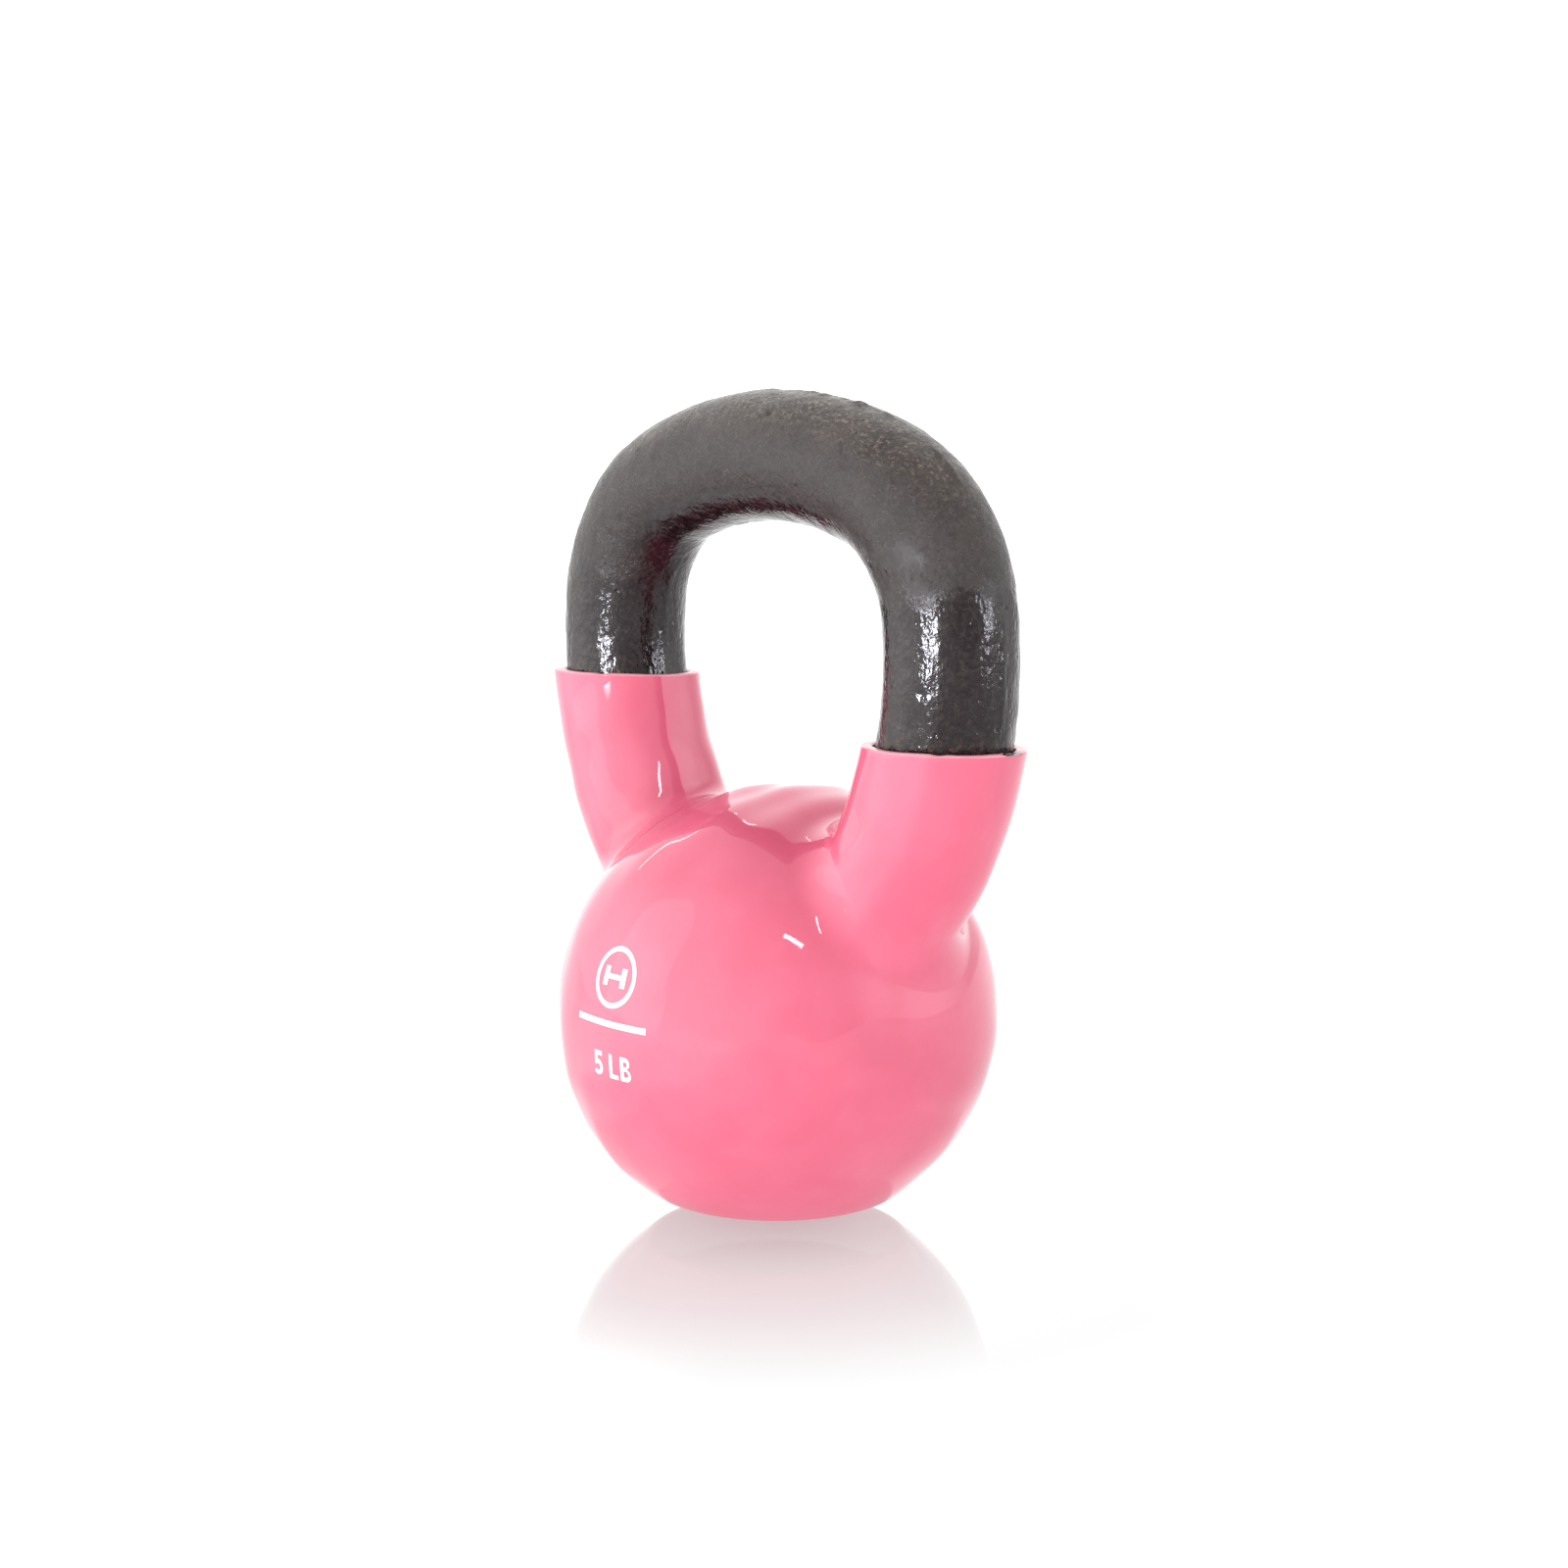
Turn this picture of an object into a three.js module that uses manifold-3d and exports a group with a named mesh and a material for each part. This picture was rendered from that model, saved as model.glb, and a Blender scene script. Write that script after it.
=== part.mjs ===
// Kettlebell: a one-piece iron casting, the vinyl skin dipped over its ball and horns, and the ink
// printed on the skin. Millimetres, +Z up. The origin is the centre of the flat base, on the surface
// the kettlebell stands on. The handle's arch lies in the XZ plane and the printed face looks along -Y.

import * as THREE from "three";
import { mergeVertices } from "three/addons/utils/BufferGeometryUtils.js";
import Module from "manifold-3d";

// Ball, measured on the outside of the vinyl.
const BALL_RADIUS = 40.1;
const BALL_CENTRE_HEIGHT = 32.7;
const BASE_EDGE_RADIUS = 3;

// Handle centreline: it starts level at mid-span and turns down through three arcs on each side.
// The last arc carries on into the ball.
const HANDLE_TOP = 132.9;
const HANDLE_ARCS = [
  { radius: 69.9, degrees: 21.1 },
  { radius: 25.8, degrees: 60.7 },
  { radius: 65.6, degrees: 58 },
];
const BAR_RADIUS = 11.45;

// Vinyl over the horns: its outside radius, the fillet onto the ball and how far that runs in under
// the ball's surface, the vinyl's wall and its clearance round the iron.
const HORN_RADIUS = 13.85;
const HORN_FILLET = 5;
const FILLET_SINK = 0.4;
const VINYL_WALL = 2;
const VINYL_CLEARANCE = 0.3;

// The two cut collars. The height is taken on the centreline. The lean, in degrees, lowers the side of
// the cut that is away from the printed face.
const RIMS = [
  { side: 1, height: 84.8, lean: 1.4 },
  { side: -1, height: 92.1, lean: 2.2 },
];

// Print: u runs right and v runs up from the ball's equator, both along the surface.
const INK_THICKNESS = 0.2;
const INK_CLEARANCE = 0.15;
const EMBLEM = { u: 0, v: 12.2, outer: 5.4, inner: 4.5 };
const DUMBBELL = { halfLength: 3, halfBar: 0.45, plateLength: 1.3, halfPlate: 1.7 };
const RULE = { u: 0, v: 4.1, length: 18, height: 1.1, panels: 12 };

// The weight mark: the height, stroke and baseline of its three characters, and where each one starts.
const GLYPH_HEIGHT = 4.3;
const GLYPH_STROKE = 0.78;
const GLYPH_BASELINE = -5.4;
const FIVE = { u: -4.3, bowl: 1.4, stemIn: 0.95, flag: 2.2, tailDegrees: 215, throatDegrees: 140 };
const LETTER_L = { u: 0.35, width: 2.2 };
const LETTER_B = { u: 3.15, waist: 2.25, lowerFlat: 1.35, upperFlat: 1.25 };

// How far each material shines: its roughness and how metallic it is.
const ENAMEL = { color: 0x26262a, roughness: 0.45, metalness: 0.3 };
const PINK_VINYL = { color: 0xf0708f, roughness: 0.2, metalness: 0 };
const WHITE_INK = { color: 0xfafafa, roughness: 0.5, metalness: 0 };

// Fineness of the curved surfaces.
const ROUND_SEGMENTS = 28;
const BALL_SEGMENTS = 44;
const BALL_ROWS = 18;
const EDGE_ROWS = 3;
const RING_SPACING = 5;
const CURVE_SEGMENTS = 6;

const CUTTER_SIZE = 120;
const BALL_CENTRE = new THREE.Vector3(0, 0, BALL_CENTRE_HEIGHT);

const wasm = await Module();
wasm.setup();

function solidFrom(geometry) {
  const bare = geometry.clone();
  bare.deleteAttribute("normal");
  bare.deleteAttribute("uv");
  const merged = mergeVertices(bare);
  const vertProperties = merged.getAttribute("position").array;
  const triVerts = new Uint32Array(merged.index.array);
  return new wasm.Manifold(new wasm.Mesh({ numProp: 3, vertProperties, triVerts }));
}

function geometryFrom(solid) {
  const mesh = solid.getMesh();
  const geometry = new THREE.BufferGeometry();
  geometry.setAttribute("position", new THREE.BufferAttribute(mesh.vertProperties, 3));
  geometry.setIndex(new THREE.BufferAttribute(mesh.triVerts, 1));
  geometry.computeVertexNormals();
  return geometry;
}

// ---- Handle centreline ----

const HANDLE_HALF_LENGTH = HANDLE_ARCS.reduce(
  (length, arc) => length + arc.radius * THREE.MathUtils.degToRad(arc.degrees),
  0,
);

// The centreline's point at a length from mid-span, negative towards -X, and its outward normal.
function centrelineAt(length) {
  const side = length < 0 ? -1 : 1;
  const point = new THREE.Vector3(0, 0, HANDLE_TOP);
  let turned = 0;
  let remaining = Math.abs(length);
  for (const arc of HANDLE_ARCS) {
    const turn = Math.min(remaining / arc.radius, THREE.MathUtils.degToRad(arc.degrees));
    point.x += side * arc.radius * (Math.sin(turned + turn) - Math.sin(turned));
    point.z += arc.radius * (Math.cos(turned + turn) - Math.cos(turned));
    turned += turn;
    remaining -= turn * arc.radius;
  }
  const outward = new THREE.Vector3(side * Math.sin(turned), 0, Math.cos(turned));
  return { point, outward };
}

// The centreline's X at a height on one side, found by halving the length.
function centrelineXAtHeight(height, side) {
  let above = 0;
  let below = HANDLE_HALF_LENGTH;
  while (below - above > 1e-3) {
    const middle = (above + below) / 2;
    if (centrelineAt(middle).point.z > height) {
      above = middle;
    } else {
      below = middle;
    }
  }
  return side * centrelineAt(above).point.x;
}

// Spreads a point of the horn's wall along the ball's surface as it nears the ball, by a quarter-round
// fillet, and keeps its distance from the ball's centre.
function spreadOntoBall(point, away, ballRadius, fillet) {
  const fromCentre = point.clone().sub(BALL_CENTRE);
  const distance = fromCentre.length();
  const height = Math.max(distance - ballRadius + FILLET_SINK, 0);
  if (height >= fillet) {
    return;
  }
  const spread = fillet - Math.sqrt(fillet ** 2 - (fillet - height) ** 2);
  const radial = fromCentre.clone().normalize();
  const along = away.clone().addScaledVector(radial, -away.dot(radial)).normalize();
  fromCentre.addScaledVector(along, spread).setLength(distance);
  point.copy(BALL_CENTRE).add(fromCentre);
}

// The whole handle as one round rod: a lathe shape whose axis is bent onto the centreline.
function handleRod(radius, ballRadius, fillet) {
  const rings = Math.ceil((2 * HANDLE_HALF_LENGTH) / RING_SPACING);
  const profile = [new THREE.Vector2(0, -HANDLE_HALF_LENGTH)];
  for (let i = 0; i <= rings; i++) {
    profile.push(new THREE.Vector2(radius, (2 * i / rings - 1) * HANDLE_HALF_LENGTH));
  }
  profile.push(new THREE.Vector2(0, HANDLE_HALF_LENGTH));
  const geometry = new THREE.LatheGeometry(profile, ROUND_SEGMENTS);
  const positions = geometry.getAttribute("position");
  for (let i = 0; i < positions.count; i++) {
    const { point, outward } = centrelineAt(positions.getY(i));
    const away = outward.multiplyScalar(positions.getX(i));
    away.y += positions.getZ(i);
    point.add(away);
    if (away.length() > 0) {
      spreadOntoBall(point, away, ballRadius, fillet);
    }
    positions.setXYZ(i, point.x, point.y, point.z);
  }
  return solidFrom(geometry);
}

// ---- Ball ----

// A ball whose flat base meets it in a rounded edge, as a closed lathe profile from base to pole.
function ball(radius, baseHeight, edgeRadius) {
  const drop = BALL_CENTRE_HEIGHT - baseHeight;
  const edgeCentreRadius = Math.sqrt((radius - edgeRadius) ** 2 - (drop - edgeRadius) ** 2);
  const edgeCentreHeight = baseHeight + edgeRadius;
  const tangentAngle = Math.atan2(edgeCentreHeight - BALL_CENTRE_HEIGHT, edgeCentreRadius);
  const profile = [new THREE.Vector2(0, baseHeight)];
  for (let i = 0; i <= EDGE_ROWS; i++) {
    const angle = THREE.MathUtils.lerp(-Math.PI / 2, tangentAngle, i / EDGE_ROWS);
    profile.push(new THREE.Vector2(
      edgeCentreRadius + edgeRadius * Math.cos(angle),
      edgeCentreHeight + edgeRadius * Math.sin(angle),
    ));
  }
  for (let i = 1; i < BALL_ROWS; i++) {
    const angle = THREE.MathUtils.lerp(tangentAngle, Math.PI / 2, i / BALL_ROWS);
    profile.push(new THREE.Vector2(
      radius * Math.cos(angle),
      BALL_CENTRE_HEIGHT + radius * Math.sin(angle),
    ));
  }
  profile.push(new THREE.Vector2(0, BALL_CENTRE_HEIGHT + radius));
  const geometry = new THREE.LatheGeometry(profile, BALL_SEGMENTS);
  geometry.rotateX(Math.PI / 2);
  return solidFrom(geometry);
}

// The kettlebell's whole outline moved inwards by a depth, with its own radius for the handle's rod.
function bellOutline(depth, rodRadius) {
  const radius = BALL_RADIUS - depth;
  const rod = handleRod(rodRadius, radius, HORN_FILLET + depth);
  return ball(radius, depth, BASE_EDGE_RADIUS).add(rod);
}

// ---- Casting and skin ----

function bellCasting() {
  return bellOutline(VINYL_WALL + VINYL_CLEARANCE, BAR_RADIUS);
}

// Everything above the cut of one collar.
function aboveRim(rim) {
  const cutter = new THREE.BoxGeometry(CUTTER_SIZE, CUTTER_SIZE, CUTTER_SIZE);
  cutter.translate(0, 0, CUTTER_SIZE / 2);
  cutter.rotateX(-THREE.MathUtils.degToRad(rim.lean));
  cutter.translate(centrelineXAtHeight(rim.height, rim.side), 0, rim.height);
  return solidFrom(cutter);
}

function vinylSkin() {
  let skin = bellOutline(0, HORN_RADIUS);
  skin = skin.subtract(bellOutline(VINYL_WALL, HORN_RADIUS - VINYL_WALL));
  for (const rim of RIMS) {
    skin = skin.subtract(aboveRim(rim));
  }
  return skin;
}

// ---- Print ----

// A flat outline in u and v, raised to the thickness of the ink.
function inkOutline(shape) {
  return new THREE.ExtrudeGeometry(shape, {
    depth: INK_THICKNESS,
    bevelEnabled: false,
    curveSegments: CURVE_SEGMENTS,
  });
}

// A plain level bar. Its panels let it follow the ball along its length.
function inkRule() {
  const bar = new THREE.BoxGeometry(RULE.length, RULE.height, INK_THICKNESS, RULE.panels);
  return bar.translate(RULE.u, RULE.v, INK_THICKNESS / 2);
}

// Wraps a flat layer of ink onto the ball.
function wrapOnBall(layer) {
  const positions = layer.getAttribute("position");
  for (let i = 0; i < positions.count; i++) {
    const around = positions.getX(i) / BALL_RADIUS;
    const up = positions.getY(i) / BALL_RADIUS;
    const radius = BALL_RADIUS + INK_CLEARANCE + positions.getZ(i);
    positions.setXYZ(
      i,
      radius * Math.sin(around) * Math.cos(up),
      -radius * Math.cos(around) * Math.cos(up),
      BALL_CENTRE_HEIGHT + radius * Math.sin(up),
    );
  }
  return solidFrom(layer);
}

function ringShape() {
  const shape = new THREE.Shape();
  shape.absarc(EMBLEM.u, EMBLEM.v, EMBLEM.outer, 0, 2 * Math.PI, false);
  const hole = new THREE.Path();
  hole.absarc(EMBLEM.u, EMBLEM.v, EMBLEM.inner, 0, 2 * Math.PI, true);
  shape.holes.push(hole);
  return shape;
}

// A bar with a square plate on each end, drawn round its centre.
function dumbbellShape() {
  const { halfLength, halfBar, plateLength, halfPlate } = DUMBBELL;
  const inner = halfLength - plateLength;
  const upperHalf = [
    [halfLength, halfPlate],
    [inner, halfPlate],
    [inner, halfBar],
    [-inner, halfBar],
    [-inner, halfPlate],
    [-halfLength, halfPlate],
  ];
  const outline = [...upperHalf, ...upperHalf.map(([u, v]) => [-u, -v])];
  return new THREE.Shape(outline.map(([u, v]) => new THREE.Vector2(EMBLEM.u + u, EMBLEM.v + v)));
}

// The figure 5: a flag, a stem, and a bowl that is open at the lower left.
function fiveShape() {
  const { bowl } = FIVE;
  const inside = bowl - GLYPH_STROKE;
  const centre = { u: FIVE.u + bowl, v: GLYPH_BASELINE + bowl };
  const stem = centre.u - FIVE.stemIn;
  const flagEnd = stem + FIVE.flag;
  const top = GLYPH_BASELINE + GLYPH_HEIGHT;
  const tail = THREE.MathUtils.degToRad(FIVE.tailDegrees);
  const throat = THREE.MathUtils.degToRad(FIVE.throatDegrees);
  const stemMeetsBowl = Math.acos((stem + GLYPH_STROKE - centre.u) / bowl);
  const shape = new THREE.Shape();
  shape.moveTo(flagEnd, top);
  shape.lineTo(stem, top);
  shape.lineTo(stem, centre.v + inside * Math.sin(throat));
  shape.absarc(centre.u, centre.v, inside, throat, tail, true);
  shape.absarc(centre.u, centre.v, bowl, tail, stemMeetsBowl, false);
  shape.lineTo(stem + GLYPH_STROKE, top - GLYPH_STROKE);
  shape.lineTo(flagEnd, top - GLYPH_STROKE);
  shape.closePath();
  return shape;
}

function letterLShape() {
  const outline = [
    [0, 0],
    [LETTER_L.width, 0],
    [LETTER_L.width, GLYPH_STROKE],
    [GLYPH_STROKE, GLYPH_STROKE],
    [GLYPH_STROKE, GLYPH_HEIGHT],
    [0, GLYPH_HEIGHT],
  ];
  const corners = outline.map(([u, v]) => new THREE.Vector2(LETTER_L.u + u, GLYPH_BASELINE + v));
  return new THREE.Shape(corners);
}

// A level line to where a half-round lobe starts, then the lobe itself: upwards, or down if clockwise.
function lobe(path, flatEnd, bottom, top, clockwise) {
  const radius = (top - bottom) / 2;
  const quarter = Math.PI / 2;
  const start = clockwise ? quarter : -quarter;
  path.lineTo(flatEnd, clockwise ? top : bottom);
  path.absarc(flatEnd, bottom + radius, radius, start, -start, clockwise);
}

function letterBShape() {
  const left = LETTER_B.u;
  const bottom = GLYPH_BASELINE;
  const waist = bottom + LETTER_B.waist;
  const top = bottom + GLYPH_HEIGHT;
  const shape = new THREE.Shape();
  shape.moveTo(left, bottom);
  lobe(shape, left + LETTER_B.lowerFlat, bottom, waist, false);
  lobe(shape, left + LETTER_B.upperFlat, waist, top, false);
  shape.lineTo(left, top);
  shape.closePath();
  const counters = [
    { low: bottom + GLYPH_STROKE, high: waist - GLYPH_STROKE / 2, flat: LETTER_B.lowerFlat },
    { low: waist + GLYPH_STROKE / 2, high: top - GLYPH_STROKE, flat: LETTER_B.upperFlat },
  ];
  for (const { low, high, flat } of counters) {
    const counter = new THREE.Path();
    counter.moveTo(left + GLYPH_STROKE, high);
    lobe(counter, left + flat, low, high, true);
    counter.lineTo(left + GLYPH_STROKE, low);
    counter.closePath();
    shape.holes.push(counter);
  }
  return shape;
}

// ---- Assembly ----

const kettlebell = new THREE.Group();

function addPiece(name, solid, look) {
  const mesh = new THREE.Mesh(geometryFrom(solid), new THREE.MeshStandardMaterial(look));
  mesh.name = name;
  kettlebell.add(mesh);
}

addPiece("bell_casting", bellCasting(), ENAMEL);
addPiece("vinyl_skin", vinylSkin(), PINK_VINYL);

const inkPieces = {
  print_ring: inkOutline(ringShape()),
  print_dumbbell: inkOutline(dumbbellShape()),
  print_rule: inkRule(),
  print_digit_5: inkOutline(fiveShape()),
  print_letter_L: inkOutline(letterLShape()),
  print_letter_B: inkOutline(letterBShape()),
};
for (const [name, layer] of Object.entries(inkPieces)) {
  addPiece(name, wrapOnBall(layer), WHITE_INK);
}

export default kettlebell;
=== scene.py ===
"""A vinyl-dipped cast-iron kettlebell: the fine surfaces, materials and studio round its CAD frame.

Shapes are worked out in millimetres and turned into Blender's metres as each mesh is made.
"""

import math

import bmesh
import bpy
import numpy as np
from mathutils import Matrix, Quaternion, Vector, geometry, noise


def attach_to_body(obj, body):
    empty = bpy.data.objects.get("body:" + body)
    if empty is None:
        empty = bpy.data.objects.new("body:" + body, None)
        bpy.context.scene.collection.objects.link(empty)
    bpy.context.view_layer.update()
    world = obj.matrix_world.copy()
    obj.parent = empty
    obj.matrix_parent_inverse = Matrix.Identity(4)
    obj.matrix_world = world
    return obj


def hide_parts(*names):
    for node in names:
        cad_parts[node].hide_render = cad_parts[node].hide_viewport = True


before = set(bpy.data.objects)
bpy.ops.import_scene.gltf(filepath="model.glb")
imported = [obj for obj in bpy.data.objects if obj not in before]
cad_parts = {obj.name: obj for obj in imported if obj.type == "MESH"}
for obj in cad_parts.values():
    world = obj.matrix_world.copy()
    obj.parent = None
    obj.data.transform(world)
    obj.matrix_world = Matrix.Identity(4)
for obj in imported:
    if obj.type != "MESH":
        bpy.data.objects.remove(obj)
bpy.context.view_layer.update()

MM = 0.001
TINY = 1e-6

# ---- Driving dimensions, the same as the CAD model's, in millimetres and degrees ----
BALL_RADIUS = 40.1
BALL_CENTRE_HEIGHT = 32.7
BASE_EDGE_RADIUS = 3.0
HANDLE_TOP = 132.9
# Radius and turn of each arc of the handle's centreline, from the top down
HANDLE_ARCS = [(69.9, 21.1), (25.8, 60.7), (65.6, 58.0)]
BAR_RADIUS = 11.45
HORN_RADIUS = 13.85
HORN_FILLET = 5.0
VINYL_WALL = 2.0
VINYL_CLEARANCE = 0.3
# Side, height and lean of each collar's cut
RIMS = [(1, 84.8, 1.4), (-1, 92.1, 2.2)]

# ---- Print: u runs right and v runs up from the ball's equator, both along the surface, in mm ----
EMBLEM_U, EMBLEM_V, EMBLEM_OUTER, EMBLEM_INNER = 0.0, 12.2, 5.4, 4.5
DUMBBELL_HALF_LENGTH, DUMBBELL_HALF_BAR = 3.0, 0.45
DUMBBELL_PLATE_LENGTH, DUMBBELL_HALF_PLATE = 1.3, 1.7
RULE_V, RULE_LENGTH, RULE_HEIGHT = 4.1, 18.0, 1.1
GLYPH_HEIGHT, GLYPH_STROKE, GLYPH_BASELINE = 4.3, 0.78, -5.4
FIVE_U, FIVE_BOWL, FIVE_STEM_IN, FIVE_FLAG = -4.3, 1.4, 0.95, 2.2
FIVE_TAIL_ANGLE, FIVE_THROAT_ANGLE = 215, 140
LETTER_L_U, LETTER_L_WIDTH = 0.35, 2.2
LETTER_B_U, LETTER_B_WAIST, LETTER_B_LOWER, LETTER_B_UPPER = 3.15, 2.25, 1.35, 1.25
INK_THICKNESS = 0.05
# The longest side of an outline, how many sides an arc of that length has, how often a point is moved
# towards the vinyl, and how near to each other two points are the same
INK_STEP, INK_ARC_FINENESS, INK_PUSHES, INK_MERGE = 0.6, 2, 3, 1e-5

# ---- Where the dipped ball is out of round: azimuth, elevation, height in mm, spread in degrees ----
SWELLS = [
    (33.7, -56.0, -0.5, 17.0),
    (-133.2, -4.0, -0.45, 17.0),
    (-122.0, -54.0, 0.4, 20.0),
    (44.5, -12.0, 0.2, 14.0),
    (70.0, 74.0, 1.7, 14.0),
    (165.0, 80.0, 0.1, 12.0),
]
# Height above the base, in mm, over which the swells and waves come in
SWELL_FADE = 6.0

# ---- Waves in the vinyl, in mm: some of each length, in random directions ----
WAVINESS = 0.035
WAVE_LENGTHS = (31.0, 24.0, 19.0, 15.0, 12.0, 9.0)
WAVES_EACH = 2
WAVE_SEED = 5
# How much higher the waves are between the horns, and how far in degrees that spreads from the top
SADDLE_RIPPLE, SADDLE_SPREAD = 4.0, 16.0

# ---- Fineness of the meshes, and the boxes that they are found in, in millimetres ----
# Where the blank that the skin is cut from ends
BLANK_TOP = 99.0
SKIN_CELL = 0.8
SKIN_LOW, SKIN_HIGH = (-60.0, -43.0, -2.0), (60.0, 43.0, BLANK_TOP + 2)
CASTING_CELL = 0.65
CASTING_LOW, CASTING_HIGH = (-57.0, -41.0, 0.0), (57.0, 41.0, HANDLE_TOP + BAR_RADIUS + 2)
# How often a mesh is evened out, and how often its points are pushed to the surface then and at the end
RELAX_ROUNDS = 6
RELAX_PUSHES, LAST_PUSHES = 2, 3

# ---- The lip of the vinyl's cut edge, in mm, with its flat part's steps as shares of the wall ----
LIP_ROUND = 0.45
LIP_STEPS = 4
LIP_FLAT_STEPS = (0.35, 0.5, 0.65)
# The lip's waves: their height as a share of the lip's, how many go round, and their turn in degrees
LIP_WAVE, LIP_WAVES_ROUND, LIP_WAVE_TURN = 0.12, 5, 40
# Chips in the lips: side, angle from +X and half width in degrees, and depth as a share
LIP_CHIPS = [(1, 10.0, 17.0, 0.8), (1, -52.0, 6.0, 0.35), (-1, -62.0, 5.0, 0.4)]

# ---- Relief of the cast bar, in millimetres ----
# Height that the relief starts at, and the rise over which it comes in
RELIEF_BOTTOM, RELIEF_FADE = 82.0, 3.0
# Height, size and seed of each noise
CAST_NOISES = [(0.22, 13.0, 3.0), (0.1, 3.6, 11.0), (0.07, 1.7, 23.0)]
PIT_SPACING, PIT_RADIUS, PIT_DEPTH, PIT_SEED = 4.5, 0.9, 0.3, 7.0
# Size and seed of the noise that says where pits and ridges are, and the level above which they come
PIT_PATCH, PIT_PATCH_SEED, PIT_PATCH_LEVEL = 9.0, 31.0, 0.05
RIDGE_PATCH, RIDGE_PATCH_SEED, RIDGE_PATCH_LEVEL, RIDGE_STEEPNESS = 11.0, 41.0, -0.1, 5
RIDGE_HEIGHT, RIDGE_HALF_WIDTH = 0.24, 0.8
RIDGE_WANDER, RIDGE_WANDER_LENGTH, RIDGE_WANDER_SEED = 0.8, 17.0, 53.0
# X, Y, Z, radius and height of each nick or bump along the top
NICKS = [(20.5, 0.0, 141.3, 2.2, 0.55), (25.0, 0.6, 139.2, 1.5, -0.5), (13.0, -1.0, 143.6, 1.6, 0.3)]

# ---- Looks ----
# Colours are linear. A noise is the size of its lumps in mm, then as needed its detail, roughness and
# distortion. Patches are a size in mm, two values of the noise that they fade between, and the rest of
# the noise. Spots, specks, dimples and pits are a spacing in mm and two shares of it. A relief is a
# depth in mm and a noise. A facing is two values of the upward part of the surface's normal.

# Pink vinyl
VINYL_IOR = 1.5
VINYL_DEEP, VINYL_PALE = (0.465, 0.079, 0.134), (0.485, 0.09, 0.149)
VINYL_MOTTLE = (14.0, 0.35, 0.65, 4.0, 0.6)
VINYL_FLECKS, FLECK_SHARE = (1.2, 0.3, 0.7, 3.0), 0.12
VINYL_SHINY, VINYL_DULLER, VINYL_DULLNESS = 0.03, 0.06, (9.0, 0.35, 0.75, 3.0)
SCUFFS, SCUFF_STRETCH, SCUFF_ROUGHNESS = (1.1, 0.62, 0.78, 5.0, 0.7), (1.0, 1.0, 0.12), 0.06
VINYL_WAVES, VINYL_PORES = (0.005, 3.0), (0.0007, 0.5)
VINYL_CUT, CUT_SHARE, CUT_ROUGHNESS = (0.6, 0.3, 0.33), 0.8, 0.25
CHIP_DARK, CHIP_NOISE, CHIP_RAGGED, CHIP_EDGE = (0.05, 0.03, 0.028), 0.9, 0.5, (0.55, 0.85)

# Black enamel, and the iron under it
ENAMEL_IOR = 1.38
ENAMEL_BLACK, ENAMEL_WORN = (0.004, 0.0012, 0.002), (0.007, 0.0035, 0.003)
ENAMEL_GLOSSY, ENAMEL_DULL = 0.045, 0.24
ENAMEL_UNEVEN, ENAMEL_SMOOTHER, ENAMEL_ROUGHER = (2.2, 0.3, 0.7, 5.0, 0.7), -0.04, 0.09
# The enamel grows worn between two heights in mm, give or take a ragged height, but not underneath
WORN_START, WORN_END, WORN_RAGGED = 109.0, 119.0, 8.0
WORN_PATCHES, WORN_FACING = (16.0, 0.2, 0.8, 5.0, 0.65, 0.4), (-0.62, -0.35)
# Dust on the worn enamel, and a painted sheen: its facing makes the upward faces lighter than the sides
DUST_AND_SHEEN, DUST_AND_SHEEN_PATCHES, DUST_AND_SHEEN_SHARE = (0.024, 0.0155, 0.011), (9.0, 0.3, 0.72, 6.0, 0.7), 0.85
DUST_AND_SHEEN_FACING, DUST_AND_SHEEN_ON_SIDES = (-0.1, 0.7), 0.25
FILM, FILM_PATCHES, FILM_ROUGHNESS = (0.0165, 0.0128, 0.0112), (1.1, 0.46, 0.66, 7.0, 0.85), 0.03
# Pale grain and scrape marks kept to the upward faces, which also act as a painted highlight along the
# top of the bar
GRAIN_AND_HIGHLIGHT, GRAIN_AND_HIGHLIGHT_PATTERN, HIGHLIGHT_FACING = (0.12, 0.092, 0.066), (0.8, 0.52, 0.64, 5.0, 0.75), (0.35, 0.9)
SCRAPES_AND_HIGHLIGHT, SCRAPE_AND_HIGHLIGHT_STRETCH = (0.9, 0.55, 0.7, 4.0, 0.7), (0.2, 1.0, 1.0)
SCRAPE_AND_HIGHLIGHT_PATCHES = (12.0, 0.42, 0.6)
SPECKS, SPECK_SHARE, SPECK_PATCHES = (1.7, 0.2, 0.12), 0.7, (5.0, 0.48, 0.6)
RUST, RUST_SPOTS, RUST_PATCHES = (0.042, 0.02, 0.012), (6.0, 0.09, 0.05), (11.0, 0.5, 0.6)
# The stain starts a little above a collar's cut, whose height changes over within a distance of X = 0
STAIN_START, STAIN_REACH, COLLAR_CHANGE = 1.0, 2.5, 5.0
STAIN_PATCHES, STAIN_ROUGHNESS = (1.6, 0.5, 0.68, 5.0, 0.7), 0.4
CAST_LUMPS, CAST_GRAIN = (0.1, 1.0, 2.0, 0.5, 0.3), (0.025, 0.45, 3.0, 0.7)
DIMPLES, DIMPLE_STRETCH, DIMPLE_DEPTH = (0.8, 0.0, 0.8), (1.0, 1.0, 0.6), 0.035
GRIT, GRIT_DEPTH = (0.6, 4.0, 0.75), 0.3
PITS, PITS_AWAY, PITS_DEPTH = (2.6, 0.0, 0.22), (8.0, 0.58, 0.5), 0.2

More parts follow.
